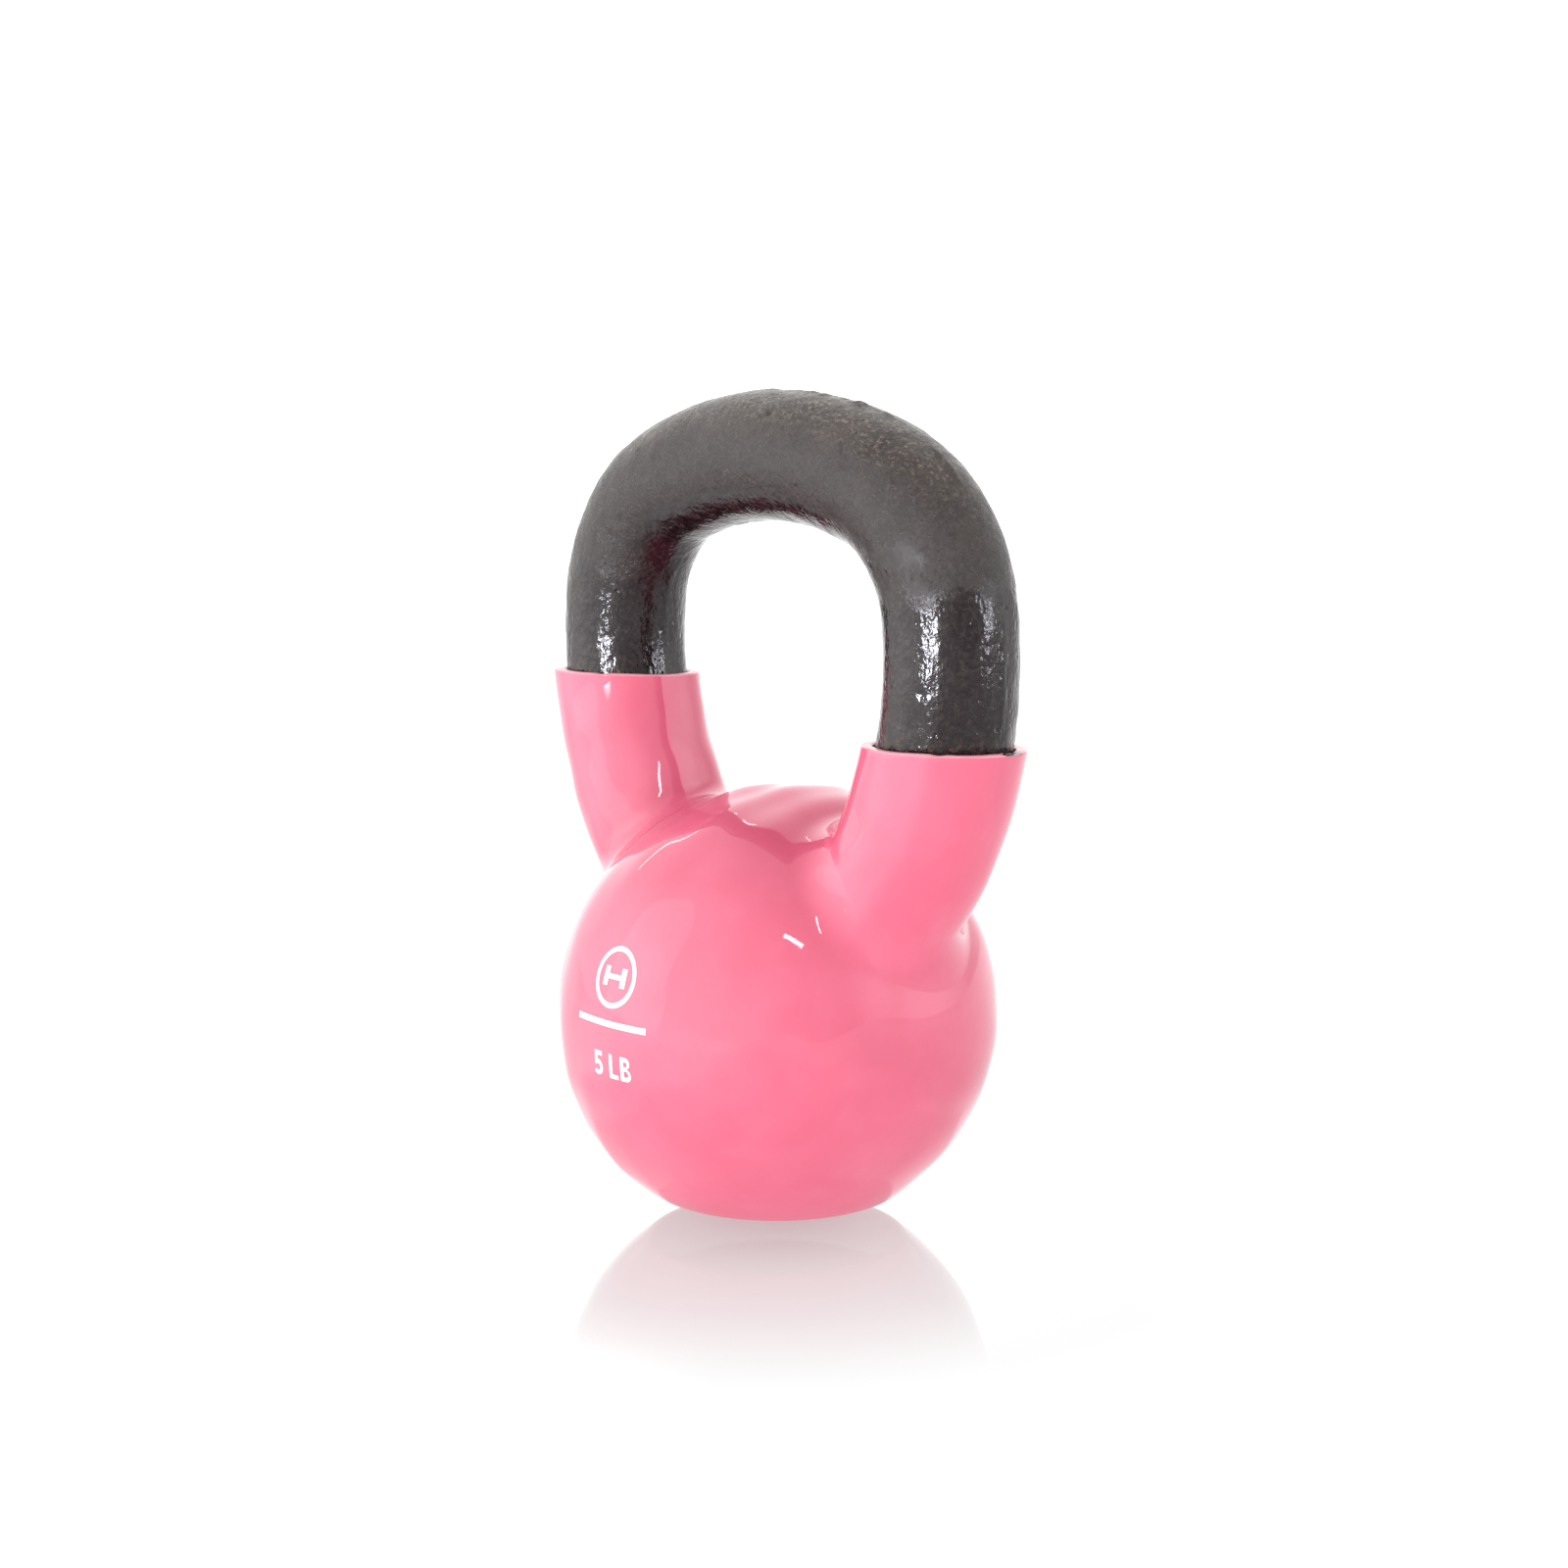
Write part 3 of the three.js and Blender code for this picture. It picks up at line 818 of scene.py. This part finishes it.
def lumps(tree, place, size, detail=2.0, roughness=0.5, distortion=0.0):
    """Noise from 0 to 1 whose lumps are about a size in millimetres across."""
    sockets = {
        "Vector": place,
        "Scale": 1 / (size * MM),
        "Detail": detail,
        "Roughness": roughness,
        "Distortion": distortion,
    }
    return add(tree, "ShaderNodeTexNoise", sockets).outputs["Fac"]


def ramp(tree, value, start, end, low=0.0, high=1.0):
    """Runs smoothly from low to high as a value goes from start to end."""
    sockets = {"Value": value, "From Min": start, "From Max": end, "To Min": low, "To Max": high}
    made = add(tree, "ShaderNodeMapRange", sockets, interpolation_type="SMOOTHSTEP")
    return made.outputs["Result"]


def ramp_mm(tree, length, start, end, low=0.0, high=1.0):
    """A ramp over a length in metres, with the lengths that it starts and ends at in millimetres."""
    return ramp(tree, length, start * MM, end * MM, low, high)


def patches(tree, place, pattern, low=0.0, high=1.0):
    """Noise that fades from low to high between the pattern's two values."""
    size, start, end, *rest = pattern
    return ramp(tree, lumps(tree, place, size, *rest), start, end, low, high)


def spots(tree, place, pattern, low=0.0, high=1.0):
    """A scatter of points: fades from low to high over two distances, as shares of their spacing."""
    spacing, start, end = pattern
    sockets = {"Vector": place, "Scale": 1 / (spacing * MM)}
    distance = add(tree, "ShaderNodeTexVoronoi", sockets, feature="F1").outputs["Distance"]
    return ramp(tree, distance, start, end, low, high)


def stretched(tree, place, scale):
    """Coordinates scaled along each axis: a scale below 1 draws longer lumps along it."""
    return add(tree, "ShaderNodeMapping", {"Vector": place, "Scale": scale}).outputs["Vector"]


def calculate(tree, operation, first, second=0.0):
    """A sum, or any other operation of the math node, on one or two values."""
    return add(tree, "ShaderNodeMath", {0: first, 1: second}, operation=operation).outputs[0]


def product(tree, first, second):
    """Two values multiplied."""
    return calculate(tree, "MULTIPLY", first, second)


def blend(tree, share, first, second):
    """A colour part of the way from a first colour to a second."""
    made = add(tree, "ShaderNodeMix", data_type="RGBA")
    for socket, value in ((0, share), (6, first), (7, second)):
        if isinstance(value, bpy.types.NodeSocket):
            tree.links.new(value, made.inputs[socket])
        else:
            made.inputs[socket].default_value = (*value, 1.0)
    return made.outputs[2]


def bumped(tree, height, depth, normal=None):
    """The surface's normal over relief of a depth in millimetres, laid over another normal if given."""
    sockets = {"Height": height, "Distance": depth * MM, "Strength": 1.0}
    if normal:
        sockets["Normal"] = normal
    return add(tree, "ShaderNodeBump", sockets).outputs["Normal"]


def noisy_relief(tree, place, relief, normal=None):
    """The surface's normal over relief made of noise."""
    depth, size, *rest = relief
    return bumped(tree, lumps(tree, place, size, *rest), depth, normal)


def finish(tree, shader, color, roughness, normal):
    """Links a material's colour, roughness and normal to its shader."""
    for socket, value in (("Base Color", color), ("Roughness", roughness), ("Normal", normal)):
        tree.links.new(value, shader.inputs[socket])


# ---- Vinyl ----


def vinyl_color(tree, place, cut, chip):
    """Pink with a faint mottle, paler where it was cut and dark where the lip is chipped."""
    color = blend(tree, patches(tree, place, VINYL_MOTTLE), VINYL_DEEP, VINYL_PALE)
    color = blend(tree, patches(tree, place, VINYL_FLECKS, 0.0, FLECK_SHARE), color, VINYL_DEEP)
    color = blend(tree, product(tree, cut, CUT_SHARE), color, VINYL_CUT)
    ragged = product(tree, lumps(tree, place, CHIP_NOISE), CHIP_RAGGED)
    chipped = ramp(tree, calculate(tree, "ADD", chip, ragged), *CHIP_EDGE)
    return blend(tree, chipped, color, CHIP_DARK)


def vinyl_material():
    """Glossy dipped vinyl: faintly mottled, a little scuffed, and paler where it was cut."""
    made, tree, shader, place = new_material("pink_vinyl", VINYL_IOR)
    cut = add(tree, "ShaderNodeAttribute", attribute_name="cut").outputs["Fac"]
    chip = add(tree, "ShaderNodeAttribute", attribute_name="chip").outputs["Fac"]
    upright = stretched(tree, place, SCUFF_STRETCH)
    rough = patches(tree, place, VINYL_DULLNESS, VINYL_SHINY, VINYL_DULLER)
    rough = calculate(tree, "ADD", rough, patches(tree, upright, SCUFFS, 0.0, SCUFF_ROUGHNESS))
    rough = calculate(tree, "ADD", rough, product(tree, cut, CUT_ROUGHNESS))
    normal = noisy_relief(tree, place, VINYL_WAVES)
    normal = noisy_relief(tree, place, VINYL_PORES, normal)
    finish(tree, shader, vinyl_color(tree, place, cut, chip), rough, normal)
    return made


# ---- Enamel ----


def enamel_wear(tree, place, height, upward):
    """How worn the enamel is: more and more towards the top of the bar, but not on its underside."""
    ragged = patches(tree, place, WORN_PATCHES, -WORN_RAGGED * MM, WORN_RAGGED * MM)
    worn = ramp_mm(tree, calculate(tree, "ADD", height, ragged), WORN_START, WORN_END)
    return product(tree, worn, ramp(tree, upward, *WORN_FACING))


def enamel_color(tree, place, worn, film, upward):
    """Black, dusty where it is worn and lighter on the upward faces as a painted sheen, with a thin
    film, pale grain and scrape marks on top that are partly a painted highlight, and dark specks.
    """
    color = blend(tree, worn, ENAMEL_BLACK, ENAMEL_WORN)
    # Dust and a painted sheen: strongest on the upward faces, a quarter as strong on the sides
    dust_and_sheen = patches(tree, place, DUST_AND_SHEEN_PATCHES, 0.0, DUST_AND_SHEEN_SHARE)
    dust_and_sheen = product(tree, dust_and_sheen, ramp(tree, upward, *DUST_AND_SHEEN_FACING, DUST_AND_SHEEN_ON_SIDES, 1.0))
    color = blend(tree, product(tree, dust_and_sheen, worn), color, DUST_AND_SHEEN)
    color = blend(tree, film, color, FILM)
    # Painted highlight on the upward faces, laid on as pale grain and scrape marks
    top_highlight = ramp(tree, upward, *HIGHLIGHT_FACING)
    grains_and_highlight = patches(tree, place, GRAIN_AND_HIGHLIGHT_PATTERN)
    color = blend(tree, product(tree, top_highlight, grains_and_highlight), color, GRAIN_AND_HIGHLIGHT)
    along = stretched(tree, place, SCRAPE_AND_HIGHLIGHT_STRETCH)
    scrapes_and_highlight = product(tree, patches(tree, along, SCRAPES_AND_HIGHLIGHT), patches(tree, place, SCRAPE_AND_HIGHLIGHT_PATCHES))
    color = blend(tree, product(tree, top_highlight, scrapes_and_highlight), color, GRAIN_AND_HIGHLIGHT)
    specks = spots(tree, place, SPECKS, 0.0, SPECK_SHARE)
    specks = product(tree, specks, patches(tree, place, SPECK_PATCHES))
    return blend(tree, specks, color, ENAMEL_BLACK)


def collar_stain(tree, place, parts):
    """Rust in ragged patches just above each collar's cut."""
    right, left = [(height + STAIN_START) * MM for _, height, _ in RIMS]
    collar = ramp_mm(tree, parts["X"], -COLLAR_CHANGE, COLLAR_CHANGE, left, right)
    above = calculate(tree, "SUBTRACT", parts["Z"], collar)
    stain = ramp_mm(tree, above, STAIN_REACH, 0.0)
    return product(tree, stain, patches(tree, place, STAIN_PATCHES))


def enamel_normal(tree, place, worn):
    """The lumps, dimples, grit and pits of the sand-cast surface."""
    normal = noisy_relief(tree, place, CAST_LUMPS)
    dimples = spots(tree, stretched(tree, place, DIMPLE_STRETCH), DIMPLES)
    normal = bumped(tree, dimples, DIMPLE_DEPTH, normal)
    normal = noisy_relief(tree, place, CAST_GRAIN, normal)
    grit = product(tree, worn, lumps(tree, place, *GRIT))
    normal = bumped(tree, grit, GRIT_DEPTH, normal)
    pits = calculate(tree, "MAXIMUM", spots(tree, place, PITS), patches(tree, place, PITS_AWAY))
    return bumped(tree, pits, PITS_DEPTH, normal)


def enamel_material():
    """Black enamel over a sand-cast surface: glossy and pitted, worn dull and dusty towards the top,
    with a painted sheen and a painted highlight on its upward faces.
    """
    made, tree, shader, place = new_material("enamelled_iron", ENAMEL_IOR)
    parts = add(tree, "ShaderNodeSeparateXYZ", {"Vector": place}).outputs
    facing = add(tree, "ShaderNodeNewGeometry").outputs["Normal"]
    upward = add(tree, "ShaderNodeSeparateXYZ", {"Vector": facing}).outputs["Z"]
    worn = enamel_wear(tree, place, parts["Z"], upward)
    film = patches(tree, place, FILM_PATCHES)
    stain = collar_stain(tree, place, parts)
    rust = product(tree, spots(tree, place, RUST_SPOTS), patches(tree, place, RUST_PATCHES))
    rusty = calculate(tree, "MAXIMUM", rust, stain)
    color = blend(tree, rusty, enamel_color(tree, place, worn, film, upward), RUST)
    rough = ramp(tree, worn, 0.0, 1.0, ENAMEL_GLOSSY, ENAMEL_DULL)
    uneven = patches(tree, place, ENAMEL_UNEVEN, ENAMEL_SMOOTHER, ENAMEL_ROUGHER)
    rough = calculate(tree, "ADD", rough, uneven)
    rough = calculate(tree, "ADD", rough, product(tree, film, FILM_ROUGHNESS))
    rough = calculate(tree, "ADD", rough, product(tree, stain, STAIN_ROUGHNESS))
    finish(tree, shader, color, rough, enamel_normal(tree, place, worn))
    return made


# ---- White ink ----


def ink_material():
    """White screen-printing ink, a little thin and uneven."""
    made, tree, shader, place = new_material("white_ink", INK_IOR)
    color = blend(tree, patches(tree, place, INK_PATCHES), INK_WHITE, INK_THIN)
    rough = patches(tree, place, INK_UNEVEN, INK_SMOOTHER, INK_ROUGHER)
    finish(tree, shader, color, rough, noisy_relief(tree, place, INK_RELIEF))
    return made


# ---- Studio ----


def direction(azimuth, elevation=0.0):
    """The unit vector to a place in the studio, its azimuth measured from the camera's to its right."""
    turn, lift = math.radians(CAMERA_AZIMUTH + azimuth), math.radians(elevation)
    level = math.cos(lift)
    return Vector((math.sin(turn) * level, -math.cos(turn) * level, math.sin(lift)))


def build_camera():
    """The camera, level from side to side, at the photo's angle and distance."""
    data = bpy.data.cameras.new("camera")
    data.lens = CAMERA_LENS
    data.sensor_width = CAMERA_SENSOR
    data.clip_start = CAMERA_NEAREST * MM
    back, right = direction(0.0, CAMERA_ELEVATION), direction(90.0)
    aim = right * CAMERA_ACROSS + Vector((0, 0, CAMERA_HEIGHT))
    turned = Matrix((right, back.cross(right), back)).transposed().to_4x4()
    camera = placed("camera", data)
    camera.matrix_world = Matrix.Translation((aim + back * CAMERA_DISTANCE) * MM) @ turned
    bpy.context.scene.camera = camera


def towards(tree, place, azimuth, elevation=0.0):
    """How far a place lies in a direction of the studio."""
    sockets = {0: place, 1: direction(azimuth, elevation)}
    return add(tree, "ShaderNodeVectorMath", sockets, operation="DOT_PRODUCT").outputs["Value"]


def by_distance(tree, reach, levels):
    """A grey that runs through a list of distances in millimetres and levels."""
    share = calculate(tree, "DIVIDE", reach, FLOOR_REACH * MM)
    made = add(tree, "ShaderNodeValToRGB", {"Fac": share})
    stops = made.color_ramp.elements
    for radius, _ in levels[1:-1]:
        stops.new(radius / FLOOR_REACH)
    for stop, (radius, level) in zip(stops, levels):
        stop.position = radius / FLOOR_REACH
        stop.color = (level, level, level, 1.0)
    return made.outputs["Color"]


def floor_glow(tree, place, reach):
    """The floor's own light: dim at the ball and in front of it, and brightest on the left."""
    sideways = calculate(tree, "ABSOLUTE", towards(tree, place, 90.0))
    beside = ramp_mm(tree, sideways, *OPEN_SIDEWAYS)
    behind = ramp_mm(tree, towards(tree, place, 180.0), *OPEN_BACK)
    share = calculate(tree, "MAXIMUM", beside, behind)
    share = product(tree, share, ramp_mm(tree, reach, *OPEN_OUTWARDS))
    near = by_distance(tree, reach, FLOOR_GLOW)
    glow = calculate(tree, "MAXIMUM", near, product(tree, share, OPEN_GLOW))
    cosine = calculate(tree, "DIVIDE", towards(tree, place, LEFT_AZIMUTH), reach)
    sector = product(tree, ramp(tree, cosine, *LEFT_EDGE), ramp_mm(tree, reach, *LEFT_OUTWARDS))
    gain = calculate(tree, "ADD", product(tree, sector, LEFT_GAIN), 1.0)
    return product(tree, gain, glow)


def floor_material():
    """White that glows by itself, with a thin mirror which fades away from the ball."""
    made = bpy.data.materials.new("floor")
    made.use_nodes = True
    tree = made.node_tree
    tree.nodes.remove(tree.nodes["Principled BSDF"])
    place = add(tree, "ShaderNodeTexCoord").outputs["Object"]
    reach = add(tree, "ShaderNodeVectorMath", {0: place}, operation="LENGTH").outputs["Value"]
    light = {"Color": (1.0, 1.0, 1.0, 1.0), "Strength": floor_glow(tree, place, reach)}
    mirror = {"Color": by_distance(tree, reach, FLOOR_SHINE), "Roughness": FLOOR_ROUGHNESS}
    glow = add(tree, "ShaderNodeEmission", light).outputs[0]
    gloss = add(tree, "ShaderNodeBsdfAnisotropic", mirror).outputs[0]
    both = add(tree, "ShaderNodeAddShader", {0: glow, 1: gloss}).outputs[0]
    tree.links.new(both, tree.nodes["Material Output"].inputs["Surface"])
    return made


def build_floor():
    """A glossy floor lit from beneath, just below the base as in a sheet that mirrors from its back."""
    corners = [(x * FLOOR_HALF, y * FLOOR_HALF, 0) for x, y in ((-1, -1), (1, -1), (1, 1), (-1, 1))]
    floor = mesh_object("floor", corners, [(0, 1, 2, 3)], smooth=False)
    floor.location.z = -MIRROR_DEPTH * MM
    floor.data.materials.append(floor_material())


def build_surroundings():
    """White surroundings with broad soft patches of light."""
    world = bpy.data.worlds.new("studio")
    world.use_nodes = True
    tree = world.node_tree
    looking = add(tree, "ShaderNodeTexCoord").outputs["Generated"]
    total = SURROUNDINGS
    for azimuth, elevation, half_width, strength in SOFT_LIGHTS:
        cosine = towards(tree, looking, azimuth, elevation)
        patch = ramp(tree, cosine, math.cos(math.radians(half_width)), 1.0, 0.0, strength)
        total = calculate(tree, "ADD", total, patch)
    background = tree.nodes["Background"]
    background.inputs["Color"].default_value = (1.0, 1.0, 1.0, 1.0)
    tree.links.new(total, background.inputs["Strength"])
    bpy.context.scene.world = world


def build_lamp(lamp_values, lit):
    """A flat lamp that faces the kettlebell and lights only the pieces in one collection."""
    name, shape, place, aim, size, roll, spread, strength, target = lamp_values
    azimuth, elevation, distance = place
    light = bpy.data.lights.new(name, "AREA")
    light.shape = shape
    light.size, light.size_y = size
    light.spread = math.radians(spread)
    half = math.radians(spread / 2)
    narrowing = 1 - half / math.tan(half)
    light.energy = strength * math.pi * size[0] * size[1] * narrowing
    if target == "handle":
        light.color = HANDLE_LAMP_COLOR
    away = direction(azimuth, elevation)
    turned = away.to_track_quat("Z", "Y") @ Quaternion((0.0, 0.0, 1.0), math.radians(roll))
    lamp = placed(name, light)
    lamp.location = away * distance + Vector((0, 0, aim * MM))
    lamp.rotation_euler = turned.to_euler()
    lamp.light_linking.receiver_collection = lit[target]
    return lamp


def build_lamps(whole, handle):
    """The lamps that show as bright shapes in the glossy surfaces, and a fill for the underside."""
    lit = {}
    for name, pieces in (("whole", whole), ("handle", handle)):
        lit[name] = bpy.data.collections.new("lit_" + name)
        for piece in pieces:
            lit[name].objects.link(piece)
    for lamp_values in LAMPS:
        build_lamp(lamp_values, lit)
    fill = build_lamp(FILL, lit)
    fill.visible_glossy = False
    fill.light_linking.blocker_collection = lit["whole"]


# ---- Assembly ----


def attach(piece, node, material):
    """Fixes a piece to the body in place of a CAD node, in a material slot."""
    piece.data.materials.append(material)
    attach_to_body(piece, "root")
    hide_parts(node)
    return piece


INK_PIECES = {
    "print_ring": ring_outline(),
    "print_dumbbell": dumbbell_outline(),
    "print_rule": rule_outline(),
    "print_digit_5": five_outline(),
    "print_letter_L": letter_l_outline(),
    "print_letter_B": letter_b_outline(),
}

build_camera()
skin = attach(build_skin(), "vinyl_skin", vinyl_material())
casting = attach(build_casting(), "bell_casting", enamel_material())
ink = ink_material()
films = []
for node, outlines in INK_PIECES.items():
    films.append(attach(ink_film(node + "_film", outlines), node, ink))

build_floor()
build_surroundings()
build_lamps([skin, casting, *films], [casting])
bpy.context.scene.view_settings.view_transform = "Standard"
